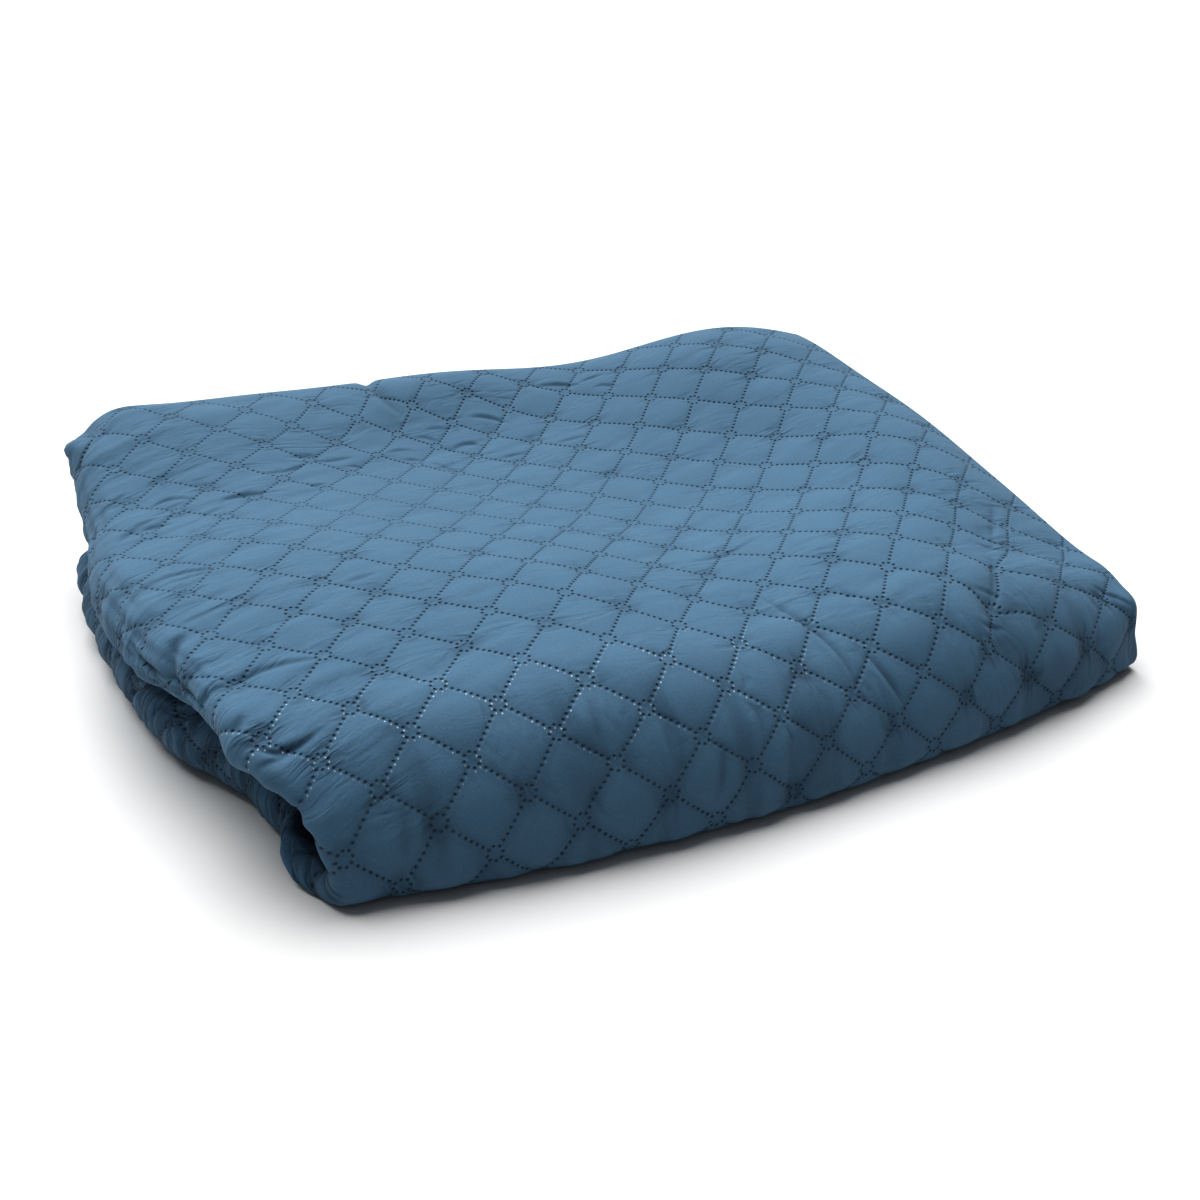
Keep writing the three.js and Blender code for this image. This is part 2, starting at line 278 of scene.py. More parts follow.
STRETCHES = [
    {"name": "top layer", "layer": 0, "faces": OUT, "to": "margin", "cells": 0},
    {"name": "left margin", "layer": 0, "faces": OUT, "to": "rim", "cells": 2},
    {"name": "outer rim", "middle": 1.5, "radius": 1.5, "bulge": -1, "heading": -1, "looks": 1, "cells": 2},
    {"name": "fourth layer", "layer": 3, "faces": IN, "to": "fold", "cells": LAYER_CELLS},
    {"name": "right fold", "middle": 2.5, "radius": 0.5, "bulge": 1, "heading": 1, "looks": 1,
     "cells": TURN_CELLS},
    {"name": "third layer", "layer": 2, "faces": OUT, "to": "inner rim", "cells": LAYER_CELLS},
    {"name": "inner rim", "middle": 1.5, "radius": 0.5, "bulge": -1, "heading": 1, "looks": -1,
     "cells": TURN_CELLS},
    {"name": "second layer", "layer": 1, "faces": IN, "to": "inner end", "cells": LAYER_CELLS},
]

columns = [RIGHT_END]
columns += [SEAM_X + HALF_DIAMOND * k for k in range(2, MARGIN_CELL - 1, -1)]
MARGIN_RUN = columns[-1]
STRETCHES[0].update(start=RIGHT_END, end=MARGIN_RUN)
for stretch in STRETCHES[1:]:
    cell = TURN_LENGTH / TURN_CELLS if stretch["cells"] == TURN_CELLS else HALF_DIAMOND
    stretch["start"] = columns[-1]
    columns += [columns[-1] - cell * k for k in range(1, stretch["cells"] + 1)]
    stretch["end"] = columns[-1]
RUN_END = columns[-1]
print("columns:", len(columns), "from", columns[0], "to", RUN_END, "mm")

# %% [markdown]
# One function follows any point round these folds. At the front bend the rims draw back and grow thin, which
# leaves the small dark hollow at the front left corner.

# %% Follow the cloth
MOUTH_FROM, MOUTH_WIDENS = 24, 44
MOUTH_TO, MOUTH_CLOSES = 138, 30
THIN_TO, THIN_CLOSES = 148, 45
MOUTH_DEEP = 9
MOUTH_THIN = 0.55
MOUTH_TAPER = 50


def mouth(way, to, closes):
    """1 where the rims draw back or grow thin at the front bend, 0 away from it."""
    return ease((way - MOUTH_FROM) / MOUTH_WIDENS) * ease((to - way) / closes)


def follow(run, reach):
    """Where a point of the cloth goes: x, depth, how its face looks, its length, its place round the rim."""
    rim_way = way_at(RIM_X, np.clip(reach, end_reach(RIM_X), back_reach(RIM_X)))
    edge = rim_line(rim_way)
    drawn = mouth(rim_way, MOUTH_TO, MOUTH_CLOSES)
    thinned = mouth(rim_way, THIN_TO, THIN_CLOSES)
    centre = edge + 1.5 * pitch(edge, rim_way) + SHEET / 2 + MOUTH_DEEP * drawn
    stops = {"margin": MARGIN_RUN, "rim": centre, "fold": FOLD_CENTRE, "inner end": INNER_END}
    stops["inner rim"] = centre + MOUTH_TAPER * thinned

    def spacing(x):
        thin = MOUTH_THIN * thinned * (1 - ease((x - centre) / MOUTH_TAPER))
        return pitch(x, way_at(x, reach)) * (1 - thin)

    x = np.array(run, float)
    depth = np.full_like(x, SHEET / 2)
    across = np.zeros_like(x)
    inward = np.full_like(x, OUT)
    length = np.array(run, float)
    round_rim = np.zeros_like(x)
    stop = np.full_like(x, RIGHT_END)
    done = np.full_like(x, RIGHT_END)
    for stretch in STRETCHES:
        here = (run <= stretch["start"]) & (run >= stretch["end"])
        part = (stretch["start"] - run) / (stretch["start"] - stretch["end"])
        if "to" in stretch:
            start, stop = stop, np.zeros_like(x) + stops[stretch["to"]]
            there = lerp(start, stop, part)
            x = np.where(here, there, x)
            depth = np.where(here, stretch["layer"] * spacing(there) + SHEET / 2, depth)
            across = np.where(here, 0, across)
            inward = np.where(here, stretch["faces"], inward)
            length = np.where(here, done - np.abs(there - start), length)
            done = done - np.abs(stop - start)
        else:
            step = spacing(stop)
            turn = part * math.pi
            sine, cosine = np.sin(turn), np.cos(turn)
            radius = stretch["radius"] * step
            x = np.where(here, stop + stretch["bulge"] * radius * sine, x)
            layers = stretch["middle"] + stretch["heading"] * stretch["radius"] * cosine
            depth = np.where(here, layers * step + SHEET / 2, depth)
            across = np.where(here, stretch["looks"] * stretch["bulge"] * sine, across)
            inward = np.where(here, stretch["looks"] * stretch["heading"] * cosine, inward)
            length = np.where(here, done - radius * turn, length)
            done = done - radius * math.pi
            if stretch["name"] == "outer rim":
                round_rim = np.clip(part, 0, 1)
    return x, depth, across, inward, length, round_rim


print("the rims draw back", MOUTH_DEEP, "mm at the front bend")

# %% [markdown]
# The flat cloth. A maker starts with the sheet spread out, and so does this lesson: a grid of half diamonds
# whose lines fall on the seams, cut to the edges and given two sides. Doing this before the folding keeps it
# simple, because on the flat sheet every face is easy to choose by its place.

# %% Cut the flat cloth
ROW_TOP = 8
ROW_COUNT = 42
SNAP = 5
TOUCH = 0.01

rows = [SEAM_Y + HALF_DIAMOND * (ROW_TOP - k) for k in range(ROW_COUNT)]

bpy.ops.object.select_all(action="DESELECT")
bpy.ops.mesh.primitive_grid_add(x_subdivisions=len(columns) - 1, y_subdivisions=len(rows) - 1, size=2)
cloth = bpy.context.object
cloth.name = "quilted_sofa_cover"
cloth.data.name = "quilted_sofa_cover"


def read_points(mesh):
    flat = np.empty(len(mesh.vertices) * 3)
    mesh.vertices.foreach_get("co", flat)
    return flat.reshape(-1, 3)


def write_points(mesh, points):
    mesh.vertices.foreach_set("co", np.ascontiguousarray(points, np.float32).ravel())
    mesh.update()


grid = read_points(cloth.data)
column_of = np.rint((1 - grid[:, 0]) / 2 * (len(columns) - 1)).astype(int)
row_of = np.rint((1 - grid[:, 1]) / 2 * (len(rows) - 1)).astype(int)
run = np.array(columns)[column_of]
reach = np.array(rows)[row_of]
x = follow(run, reach)[0]
reach = np.where(reach > back_reach(x) - SNAP, back_reach(x), reach)
reach = np.where(reach < end_reach(x) + SNAP, end_reach(x), reach)
write_points(cloth.data, np.stack([run, reach, np.zeros_like(run)], axis=-1))

bpy.ops.object.mode_set(mode="EDIT")
bpy.ops.mesh.select_all(action="SELECT")
bpy.ops.mesh.remove_doubles(threshold=TOUCH)
bpy.ops.mesh.normals_make_consistent(inside=False)
bpy.ops.object.mode_set(mode="OBJECT")
if cloth.data.polygons[0].normal.z < 0:
    cloth.data.flip_normals()
sides = cloth.modifiers.new("two sides", "SOLIDIFY")
sides.thickness = 2
sides.offset = 0
bpy.ops.object.modifier_apply(modifier=sides.name)
print("flat cloth:", len(cloth.data.polygons), "faces")

# %% [markdown]
# Only the outside of the pad is seen, so only that is divided finely: the top, the front bend and both rims.
# The hidden layers stay coarse, which saves most of the triangles.

# %% Divide the part that shows
FINE_CUTS = 6
EDGE_CUTS = 3
FINE_UNDER = 22
FACE_LEVEL = 0.9
FINE_END = STRETCHES[3]["start"] - 2 * HALF_DIAMOND

bm = bmesh.new()
bm.from_mesh(cloth.data)
upright = [e for e in bm.edges if abs(e.verts[0].co.z - e.verts[1].co.z) > 1]
bmesh.ops.subdivide_edges(bm, edges=upright, cuts=EDGE_CUTS, use_grid_fill=True)


def on_face_side(face):
    return all(v.co.z > FACE_LEVEL for v in face.verts)


def shows(face):
    """On the face side: the top, the front bend and both rims."""
    middle = face.calc_center_median()
    if not on_face_side(face) or middle.x < FINE_END:
        return False
    foot = float(bend_start(max(middle.x, RIM_X))) - FOOT - FINE_UNDER
    return middle.y > foot or middle.x < MARGIN_RUN


def spot(edge):
    middle = (edge.verts[0].co + edge.verts[1].co) / 2
    return round(middle.x, 2), round(middle.y, 2)


fine_edges = {e for f in bm.faces if shows(f) for e in f.edges}
rim_spots = {spot(e) for e in fine_edges if any(v.co.z < FACE_LEVEL for f in e.link_faces for v in f.verts)}
for edge in bm.edges:
    level = edge.verts[0].co.z
    if abs(level) < FACE_LEVEL and level == edge.verts[1].co.z and spot(edge) in rim_spots:
        fine_edges.add(edge)
bmesh.ops.subdivide_edges(bm, edges=list(fine_edges), cuts=FINE_CUTS, use_grid_fill=True)
bm.to_mesh(cloth.data)
bm.free()
print("divided cloth:", len(cloth.data.vertices), "points,", len(cloth.data.polygons), "faces")

# %% [markdown]
# Creases are put where the real cloth shows them, one row each, because chance would put them in the wrong
# places. A row holds three places on the flat cloth, a width and a depth. The side towards the viewer is
# flatter, unless a row says otherwise.

# %% Creases one by one
FLAT_SIDE = 1.8
CREASE_ROWS = [
    # name; where it starts, passes and ends; its width and depth, and how flat its near side is
    ("pinch at the back edge", (-45, 216), (-43, 187), (-36, 164), 3.2, 2.2),
    ("back, first", (64, 174), (80, 170), (92, 162), 1.4, 1.2),
    ("back, second", (94, 164), (103, 164), (113, 163), 1.3, 0.9),
    ("back, below it", (98, 152), (106, 150), (112, 142), 1.2, 0.8),
    ("back, third", (6, 157), (18, 154), (29, 145), 1.4, 1.1),
    ("back, fourth", (-39, 145), (-30, 142), (-25, 136), 1.3, 0.8),
    ("back, above it", (-28, 150), (-21, 151), (-13, 150), 1.2, 0.6),
    ("back, fifth", (-20, 126), (-7, 130), (2, 123), 1.4, 0.8),
    ("back, sixth", (5, 104), (14, 105), (24, 104), 1.3, 0.7),
    ("back, seventh", (-64, 130), (-55, 132), (-45, 130), 1.4, 0.7),
    ("back, below that", (-57, 122), (-50, 120), (-44, 118), 1.3, 0.7),
    ("back, to the right", (47, 107), (58, 106), (68, 105), 1.3, 0.6),
    ("back, down", (-42, 112), (-34, 103), (-28, 85), 1.4, 0.6),
    ("turned back corner", (-235, 197), (-244, 187), (-253, 183), 1.3, 1.6),
    ("behind the corner", (-239, 184), (-227, 197), (-217, 201), 1.2, 0.6),
    ("left, behind, upper", (-243, 116), (-235, 125), (-227, 132), 1.2, 0.8),
    ("left, behind", (-220, 106), (-207, 112), (-194, 103), 1.6, 1.1),
    ("left, behind, inner", (-180, 93), (-166, 98), (-143, 95), 1.8, 1.2),
    ("left, behind, soft", (-201, 74), (-191, 82), (-180, 85), 1.5, 0.6),
    ("its tail", (-127, 98), (-121, 97), (-115, 98), 1.2, 0.7),
    ("above the tail", (-146, 121), (-134, 120), (-118, 125), 1.5, 0.9),
    ("above that", (-127, 135), (-117, 134), (-106, 132), 1.5, 0.8),
    ("beside it", (-111, 126), (-100, 126), (-87, 128), 1.5, 0.8),
    ("its end", (-93, 118), (-88, 117), (-83, 114), 1.2, 0.6),
    ("left rim, behind", (-246, 67), (-231, 85), (-217, 90), 1.5, 1.1),
    ("below that", (-231, 79), (-222, 81), (-211, 79), 1.3, 0.7),
    ("inside the rim", (-262, 66), (-256, 96), (-246, 110), 1.2, 1.0),
    ("left rim, middle", (-254, -7), (-230, 8), (-209, 3), 1.4, 1.0),
    ("its double", (-236, -2), (-222, 2), (-210, -2), 1.0, 0.5),
    ("left rim, faint", (-238, -47), (-228, -41), (-212, -37), 1.3, 0.6),
    ("rim line", (-263, -25), (-263, -53), (-258, -84), 1.0, 1.5),
    ("pocket at the rim", (-238, -54), (-250, -70), (-258, -86), 2.4, 3.4),
    ("blade below the pocket", (-248, -105), (-243, -106), (-240, -103), 1.2, 1.4),
    ("long, left", (-227, -102), (-209, -100), (-188, -105), 1.8, 1.3),
    ("short, left", (-153, -45), (-144, -44), (-134, -42), 1.5, 0.6),
    ("soft, left", (-232, -130), (-235, -135), (-239, -138), 1.8, 1.2),
    ("pinch by the hollow", (-233, -149), (-220, -155), (-204, -152), 1.5, 2.0),
    ("under the pinch", (-234, -160), (-227, -158), (-218, -157), 1.2, 1.0),
    ("lower rim, slot", (-265, -423), (-273, -414), (-281, -406), 1.5, 3.2),
    ("lower rim, second slot", (-266, -390), (-275, -385), (-284, -387), 1.4, 2.8),
    ("lower rim, gather", (-279, -377), (-265, -370), (-256, -365), 1.2, 1.2),
    ("lower rim, second gather", (-275, -367), (-263, -362), (-248, -356), 1.2, 1.2),
    ("lower rim, third gather", (-259, -345), (-253, -343), (-246, -342), 1.1, 1.0),
    ("lip, first pleat", (-240, -263), (-231, -258), (-222, -254), 1.1, 2.3),
    ("lip, second pleat", (-240, -256), (-231, -252), (-222, -249), 1.0, 2.0),
    ("lip, third pleat", (-239, -250), (-230, -246), (-222, -243), 1.2, 2.6),
    ("lip, fourth pleat", (-236, -242), (-229, -240), (-222, -238), 1.0, 2.0),
    ("right pucker, upper", (236, -106), (218, -126), (198, -150), 1.5, 0.6),
    ("right pucker, lower", (190, -158), (174, -178), (158, -196), 1.6, 0.8),
    ("valley on it, upper", (246, -102), (220, -124), (194, -153), 9, 1.4, 0.5),
    ("valley on it, lower", (190, -158), (171, -181), (152, -203), 9, 1.6, 0.5),
    ("gather at the pucker", (188, -145), (195, -149), (203, -152), 1.3, 0.7),
    ("gather below it", (156, -181), (163, -186), (171, -190), 1.3, 0.7),
    ("lowest gather", (146, -201), (153, -206), (161, -209), 1.3, 0.9),
    ("right corner, fold", (244, -192), (255, -205), (265, -217), 1.2, 0.8),
    ("front, right of middle", (46, -139), (56, -177), (61, -214), 1.6, 1.7),
    ("front, beside it", (74, -198), (79, -215), (84, -231), 1.6, 1.8),
    ("front, above it", (88, -153), (88, -160), (88, -166), 1.2, 0.7),
    ("front, by the hollow", (-179, -200), (-181, -211), (-183, -222), 3.4, 1.3),
    ("front, left", (-91, -218), (-92, -229), (-88, -237), 2.4, 1.2),
    ("front, above the left", (-82, -183), (-83, -197), (-85, -211), 2.4, 0.9),
    ("front, short", (-48, -204), (-49, -213), (-51, -221), 2.2, 0.8),
    ("front, low", (-24, -224), (-27, -236), (-32, -248), 2.6, 1.3),
    ("front, middle", (-4, -206), (0, -214), (-2, -225), 2.2, 1.0),
    ("front, beside the middle", (15, -224), (13, -233), (11, -243), 2.4, 1.0),
    ("front, far left", (-180, -141), (-180, -147), (-180, -155), 1.6, 0.8),
    ("middle", (33, -87), (57, -85), (88, -78), 1.4, 0.7),
]


def crease_row(name, start, middle, end, wide, deep, flat=FLAT_SIDE):
    return {"name": name, "line": (start, middle, end), "wide": wide, "deep": deep, "flat": flat}


CREASES = [crease_row(*row) for row in CREASE_ROWS]
print(len(CREASES), "creases")

# %% [markdown]
# A crease follows a smooth curve through its three places and fades to its ends. Across it lies a narrow
# trough with a soft raised lip, because cloth that is pushed together sinks along a line and swells beside
# it. A deep, narrow crease also gets painted shade at its bottom, since little light reaches it.

# %% How a crease lies
LIP, LIP_AWAY, LIP_WIDE = 0.25, 2.6, 1.4
END_GAP, END_FADE, THIN_END = 0.03, 0.7, 0.6
SHADE_DEEP, SHADE_WIDE = 2, 2
TOWARDS_VIEWER = np.array([0.35, -0.94])
CURVE_STEPS = 10


def crease_line(points):
    """Points along a smooth curve that starts, passes and ends at the three given ones."""
    a, b, c = (np.array(p, float) for p in points)
    control = 2 * b - (a + c) / 2
    t = np.linspace(0, 1, CURVE_STEPS + 1)[:, None]
    return (1 - t) ** 2 * a + 2 * t * (1 - t) * control + t**2 * c


def crease_gap(crease, length, reach):
    """Distance to a crease, less than 0 on its far side, and how far along it the nearest place is."""
    line = crease_line(crease["line"])
    nearest = np.full(length.shape, 1e9)
    signed = np.full(length.shape, 1e9)
    place = np.zeros(length.shape)
    for k in range(CURVE_STEPS):
        step = line[k + 1] - line[k]
        gap_x, gap_y = length - line[k][0], reach - line[k][1]
        t = np.clip((gap_x * step[0] + gap_y * step[1]) / step.dot(step), 0, 1)
        gap_x, gap_y = gap_x - t * step[0], gap_y - t * step[1]
        normal = np.array([step[1], -step[0]])
        normal = normal if normal.dot(TOWARDS_VIEWER) > 0 else -normal
        gap = np.hypot(gap_x, gap_y)
        closer = gap < nearest
        place = np.where(closer, (k + t) / CURVE_STEPS, place)
        near_side = gap_x * normal[0] + gap_y * normal[1] > 0
        signed = np.where(closer, np.where(near_side, gap, -gap), signed)
        nearest = np.minimum(nearest, gap)
    return signed, place


def creases(length, reach):
    """How far the cloth sinks into its creases, and how much painted shade their bottoms get, from 0 to 1."""
    depth = np.zeros(length.shape)
    shade = np.zeros(length.shape)
    for crease in CREASES:
        signed, place = crease_gap(crease, length, reach)
        fade = np.sin(np.pi * np.clip(place, END_GAP, 1 - END_GAP)) ** END_FADE
        wide = crease["wide"] * lerp(THIN_END, 1, fade)
        near_side = crease["flat"] * wide
        trough = np.exp(-((signed / np.where(signed < 0, wide, near_side)) ** 2))
        lip = LIP * np.exp(-(((signed + LIP_AWAY * wide) / (LIP_WIDE * wide)) ** 2))
        depth += crease["deep"] * fade * (lip - trough)
        dark = min(crease["deep"] / SHADE_DEEP, 1) * min(SHADE_WIDE / crease["wide"], 1)
        shade = np.maximum(shade, dark * fade * np.exp(-((signed / wide) ** 2)))
    return depth, shade


print("each crease is a curve in", CURVE_STEPS, "steps")

# %% [markdown]
# A crease is narrower than the faces of the mesh. So the cloth is divided once more beside every crease and
# at the left, where it is gathered, and then a second time close along the creases.

# %% Divide again along the creases
GATHERED_RUN = -212
DIVISIONS = [
    {"area": 11, "near": 7.5, "gathered": True},
    {"area": 3, "near": 3.2, "gathered": False},
]

for division in DIVISIONS:
    bm = bmesh.new()
    bm.from_mesh(cloth.data)
    small = [f for f in bm.faces if on_face_side(f) and f.calc_area() < division["area"]]
    middles = np.array([f.calc_center_median() for f in small])
    length = follow(middles[:, 0], middles[:, 1])[4]
    chosen = division["gathered"] & (length < GATHERED_RUN) & (middles[:, 0] > FINE_END + HALF_DIAMOND)
    for crease in CREASES:
        chosen |= np.abs(crease_gap(crease, length, middles[:, 1])[0]) < division["near"]
    split = {e for f, pick in zip(small, chosen) if pick for e in f.edges}
    bmesh.ops.subdivide_edges(bm, edges=list(split), cuts=1, use_grid_fill=True)
    bmesh.ops.triangulate(bm, faces=[f for f in bm.faces if len(f.verts) > 4])
    bm.to_mesh(cloth.data)
    bm.free()
    print("divided again:", len(cloth.data.vertices), "points,", len(cloth.data.polygons), "faces")

# %% [markdown]
# The quilting is not even. Where the cloth is drawn tight or shifted its diamonds move with it, so a table
# holds the slips of the pattern, and a slow unevenness lets every seam waver a little. Where the cloth sinks
# slack into the hollow the puffs lie almost flat and the weld dots close up, so a second table says where it
# is slack. A third holds the dents: places pressed flat, drawn out to a tip or tucked in.

# %% Where the pattern slips and slackens
WAVER = 1.2
WAVER_SIZE = 50
KNOTS = 64

SLIPS = [
    patch("pulled at the right corner", 245, -205, 55, 60, across=13, back=9),
    patch("shifted behind", -95, 170, 75, 65, across=6, back=-13),
    patch("right pucker, drawn in", 235, -115, 45, 45, across=-11, back=-5),
    patch("right pucker, middle", 185, -170, 18, 20, across=-9, back=-1),
    patch("right pucker, foot", 160, -198, 14, 16, across=-9, back=-5),
    patch("front, to the left", -100, -205, 110, 55, across=-4.5, back=0),
    patch("front, middle, drawn down", -60, -180, 45, 40, across=0, back=-5),
    patch("front, left, drawn up", -195, -170, 50, 60, across=0, back=5),
    patch("front, right, drawn down", 115, -205, 55, 45, across=0, back=-3),
]
SLACKS = [
    patch("hollow", -95, 55, 105, 62, part=0.85),
    patch("rear left", -165, 170, 95, 60, part=0.6),
    patch("left", -225, 0, 38, 150, part=0.5),
    patch("middle", 40, 5, 90, 60, part=0.35),
]
DENTS = [
    patch("flattened rear left corner", -236, 216, 17, 22, rise=-8),
    patch("notch at the pinch", -45, 216, 5, 14, rise=-3),
    patch("tip of the right corner", 268, -214, 16, 12, rise=4.5),
    patch("tucked in below it", 268, -247, 16, 14, rise=-3.5),
    patch("tip of the rear left corner", -247, 208, 6, 10, rise=7.5),
    patch("drawn in below that tip", -257, 202, 5, 9, rise=-2),
]


def knot_table(seed):
    return np.random.default_rng(seed).uniform(-1, 1, (KNOTS, KNOTS))


def soft_noise(u, v, seed):
    """Smooth unevenness from -1 to 1 with about one swell a unit."""
    knots = knot_table(seed)
    i, j = np.floor(u).astype(int), np.floor(v).astype(int)
    next_i, next_j = (i + 1) % KNOTS, (j + 1) % KNOTS
    i_part, j_part = ease(u - i), ease(v - j)
    i, j = i % KNOTS, j % KNOTS
    near = lerp(knots[i, j], knots[next_i, j], i_part)
    far = lerp(knots[i, next_j], knots[next_i, next_j], i_part)
    return lerp(near, far, j_part)


def slipped(length, reach):
    """Place in the pattern of a point of the cloth, in diamonds."""
    across = sum(slip["across"] * hill(slip, length, reach) for slip in SLIPS)
    back = sum(slip["back"] * hill(slip, length, reach) for slip in SLIPS)
    across = across + WAVER * soft_noise(length / WAVER_SIZE, reach / WAVER_SIZE, 51)
    back = back + WAVER * soft_noise(length / WAVER_SIZE, reach / WAVER_SIZE, 52)
    return (length - across - SEAM_X) / DIAMOND, (reach - back - SEAM_Y) / DIAMOND


def slackness(length, reach):
    tight = 1
    for row in SLACKS:
        tight = tight * (1 - row["part"] * hill(row, length, reach))
    return 1 - tight


print(len(SLIPS), "slips,", len(SLACKS), "slack places,", len(DENTS), "dents")

# %% [markdown]
# Each diamond stands up as a low crown between its welded seams, because the wadding fills it. The crowns
# are fuller on the front bend, where the cloth is drawn over the layers, than on the top. Every diamond has
# its own height, so that no two are alike.

# %% Crowns of the diamonds
CROWN_TOP = 1.3
CROWN_FRONT = 2.1
CROWN_FULLNESS = 0.6
CROWN_SPREAD = 0.3


def soft_step(value, start, end):
    """0 at start, 1 at end and a soft rise between them, whichever way they lie."""
    return ease((value - start) / (end - start))


def crowns(length, reach, way):
    u, v = slipped(length, reach)
    first, second = u - v, u + v
    puff = np.abs(np.sin(np.pi * first) * np.sin(np.pi * second)) ** CROWN_FULLNESS
    i, j = np.floor(first).astype(int), np.floor(second).astype(int)
    own = 1 + CROWN_SPREAD * knot_table(11)[i % KNOTS, j % KNOTS]
    high = lerp(CROWN_TOP, CROWN_FRONT, soft_step(way, -20, 40))
    return high * own * puff * (1 - slackness(length, reach))


print("crowns", CROWN_TOP, "mm high on the top and", CROWN_FRONT, "mm on the front")

# %% [markdown]
# Sparse wrinkles run across the top and down the front, and at the left they fan out from the rim, where the
# cloth is pulled round. The upper roll carries thin broken lines along its length, and the lower roll close
# gathers across it. All come from smooth unevenness, each kind stretched along its own folds.

# %% Wrinkles and gathers
WRINKLE_TILT = math.radians(14)
TOP_FOLDS = {"size": (36, 9), "seed": 21, "level": 0.2}
FRONT_FOLDS = {"size": (12, 42), "seed": 23, "level": 0.15}
FOLD_SOFT = 0.5
TOP_DEEP = 0.6

FAN_FOLDS = {"size": (7, 38), "seed": 25}
FAN_HIGH = 0.8
FAN_FROM, FAN_TO = -266, -130
FAN_BEND, FAN_EASE = 45, 55

RIM_LINES = [
    {"place": 0.14, "wide": 0.05, "height": -1.3},
    {"place": 0.3, "wide": 0.045, "height": -1.6},
    {"place": 0.47, "wide": 0.035, "height": -2.2},
    {"place": 0.55, "wide": 0.04, "height": 0.8},
    {"place": 0.63, "wide": 0.04, "height": -1.6},
]
LINE_WAVER = 0.04
LINE_SHIFT = {"size": (45, 200), "seed": 32}
LINE_BREAKS = {"size": (38, 200), "seed": 310}
GATHERS = {"size": (3.4, 40), "seed": 33}
GATHER_SWELLS = {"size": (9, 30), "seed": 34}
GATHER_HIGH = 0.75


def uneven(u, v, kind, draw=0):
    """Smooth unevenness of one kind, by its size each way and its seed."""
    return soft_noise(u / kind["size"][0], v / kind["size"][1], kind["seed"] + draw)


def sparse_folds(u, v, kind):
    """1 along folds that lie where an unevenness passes its level, and 0 between them."""
    return ease((uneven(u, v, kind) - kind["level"]) / FOLD_SOFT)


def fan_line(length, reach):
    """Follows the curved pull of the cloth round the left rim."""
    return reach - FAN_BEND * (1 - np.exp((FAN_FROM - length) / FAN_EASE))


def fan_part(length, way):
    return soft_step(length, FAN_TO, FAN_TO - 70) * soft_step(way, UPPER_ARC, UPPER_ARC - 40)


def front_part(way):
    return soft_step(way, 5, 45)


def gather_part(round_rim, way):
    return soft_step(way, UPPER_ARC - 20, UPPER_ARC + 10) * soft_step(round_rim, 0, 0.3)


def wrinkles(length, reach, way):
    """Soft folds across the top, down the front and fanned at the left, and how far they sink."""
    with_fold = length * math.cos(WRINKLE_TILT) + reach * math.sin(WRINKLE_TILT)
    over_fold = reach * math.cos(WRINKLE_TILT) - length * math.sin(WRINKLE_TILT)
    top = TOP_DEEP * sparse_folds(with_fold, over_fold, TOP_FOLDS)
    trough = lerp(top, sparse_folds(length, reach, FRONT_FOLDS), front_part(way))
    fan = FAN_HIGH * uneven(fan_line(length, reach), length, FAN_FOLDS)
    return fan * fan_part(length, way) - trough, trough


def rim_folds(round_rim, length, reach, way):
    """Thin lines along the upper roll and gathers on the lower one, and how far they sink."""
    place = round_rim + LINE_WAVER * uneven(reach, length, LINE_SHIFT)
    lines = np.zeros_like(round_rim)
    for k, line in enumerate(RIM_LINES):
        strong = ease(0.6 + 0.6 * uneven(reach, length, LINE_BREAKS, draw=k))
        lines += line["height"] * strong * np.exp(-(((place - line["place"]) / line["wide"]) ** 2))
    upper = lines * soft_step(way, 0, -25)
    gathers = uneven(reach + 0.5 * length, length, GATHERS) + 0.5 * uneven(reach, length, GATHER_SWELLS)
    lower = GATHER_HIGH * gathers * gather_part(round_rim, way)
    return upper + lower, np.maximum(-lower, -0.2 * upper)


print(len(RIM_LINES), "lines along the upper roll, and gathers", GATHER_HIGH, "mm high on the lower one")

# %% [markdown]
# The whole relief of the face is the sum of these, with a slow unevenness. It dies away at the cut edges,
# where the cloth is welded flat, and under the pad, where its own weight presses it on the floor.

# %% Relief of the face
CROWN_EDGE = 12
SLOW_SWELLS = {"size": (75, 75), "seed": 41, "high": 0.8}
SMALL_SWELLS = {"size": (24, 24), "seed": 43, "high": 0.3}
CREASE_DEEPEST = 3.5
TURNED_UP = 0.6


def relief(x, length, reach, way, inward, round_rim):
    """How far the face stands out of the folded sheet."""
    total = crowns(length, reach, way) + wrinkles(length, reach, way)[0]
    total += rim_folds(round_rim, length, reach, way)[0]
    for swells in (SLOW_SWELLS, SMALL_SWELLS):
        total += swells["high"] * uneven(length, reach, swells)
    from_edge = np.minimum(RIGHT_END - length, back_reach(x) - reach)
    total *= ease(from_edge / CROWN_EDGE)
    total += creases(length, reach)[0]
    above_floor = np.maximum((FOOT - way) / LOWER_ARC, (1 + inward) / TURNED_UP)
    return np.maximum(total, -CREASE_DEEPEST) * ease(above_floor)


print("no crease is deeper than", CREASE_DEEPEST, "mm")

# %% [markdown]
# Now every point of the flat cloth is carried to its place in the pad: round the folds, then out by half the
# thickness, its relief and its dents. The cut edges are rounded over, and nothing goes below the floor.

# %% Fold the cloth
flat = read_points(cloth.data)
run, reach, side = flat.T
x, depth, across, inward, length, round_rim = follow(run, reach)
way = way_at(x, reach)

half = SHEET / 2
fine_part = ease((run - FINE_END) / HALF_DIAMOND)
raised = relief(x, length, reach, way, inward, round_rim) * fine_part
dented = sum(dent["rise"] * hill(dent, length, reach) for dent in DENTS)
out = half * side + dented + np.where(side > FACE_LEVEL, raised, 0)

